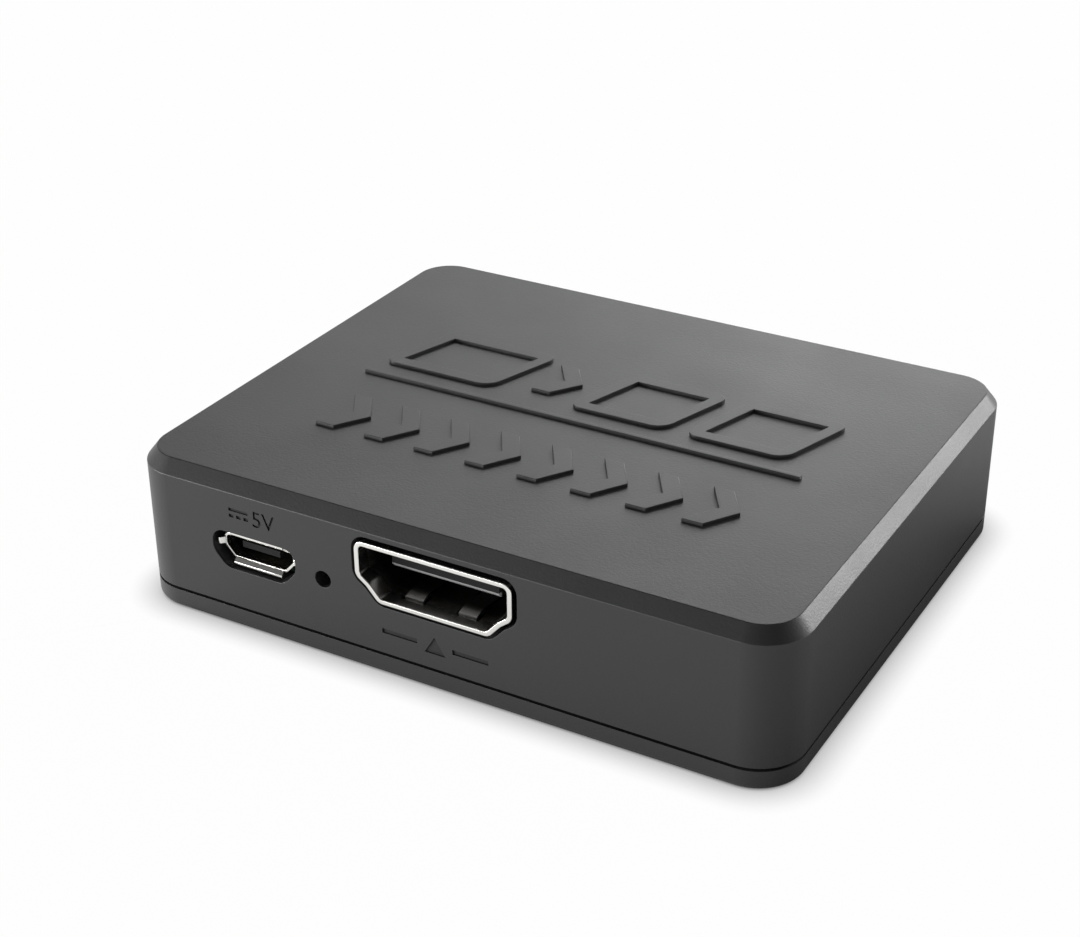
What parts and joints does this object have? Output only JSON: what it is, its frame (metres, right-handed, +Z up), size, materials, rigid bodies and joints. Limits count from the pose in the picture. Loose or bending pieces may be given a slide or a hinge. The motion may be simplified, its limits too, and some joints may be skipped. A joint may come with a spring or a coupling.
{
  "type": "video splitter",
  "caption": "Flat desktop box that repeats one video input to a pair of outputs: snap-together plastic case, circuit board, shielded sockets.",
  "frame": {"origin": "middle of the underside, on the table", "axes": "+X along the front from left to right as seen from the front, the front face looks along -Y, +Z up"},
  "size_m": [0.062, 0.0504, 0.0148],
  "materials": {
    "case_plastic": "charcoal, fine spark-eroded texture",
    "board_laminate": "green lacquered glass-fibre laminate",
    "socket_metal": "bright nickel-plated pressed steel",
    "socket_plastic": "black moulded",
    "contact_gold": "gold-plated",
    "lead_tin": "tin-plated",
    "chip_plastic": "black moulded epoxy",
    "lamp_white": "white reflector moulding",
    "lamp_clear": "clear epoxy",
    "can_metal": "drawn steel can",
    "can_aluminium": "drawn can",
    "ferrite": "dark grey ferrite",
    "capacitor_ceramic": "tan ceramic",
    "resistor_glaze": "black glaze"
  },
  "bodies": {
    "root": {"top_shell": "case_plastic", "bottom_cover": "case_plastic", "circuit_board": "board_laminate", "video_in_shell": "socket_metal", "video_in_insulator": "socket_plastic", "video_in_contacts": "contact_gold", "video_out_1_shell": "socket_metal", "video_out_1_insulator": "socket_plastic", "video_out_1_contacts": "contact_gold", "video_out_2_shell": "socket_metal", "video_out_2_insulator": "socket_plastic", "video_out_2_contacts": "contact_gold", "power_shell": "socket_metal", "power_insulator": "socket_plastic", "power_contacts": "contact_gold", "lamp_body": "lamp_white", "lamp_lens": "lamp_clear", "lamp_leads": "lead_tin", "splitter_chip": "chip_plastic", "splitter_chip_leads": "lead_tin", "memory_chip": "chip_plastic", "memory_chip_leads": "lead_tin", "crystal_can": "can_metal", "crystal_base": "chip_plastic", "crystal_leads": "lead_tin", "regulator": "chip_plastic", "regulator_leads": "lead_tin", "core_regulator": "chip_plastic", "core_regulator_leads": "lead_tin", "inductor": "ferrite", "inductor_terminals": "lead_tin", "filter_capacitor_can": "can_aluminium", "filter_capacitor_base": "chip_plastic", "filter_capacitor_leads": "lead_tin", "capacitors": "capacitor_ceramic", "capacitor_ends": "lead_tin", "resistors": "resistor_glaze", "resistor_ends": "lead_tin", "surge_arrays": "chip_plastic", "surge_array_leads": "lead_tin"}
  },
  "joints": []
}
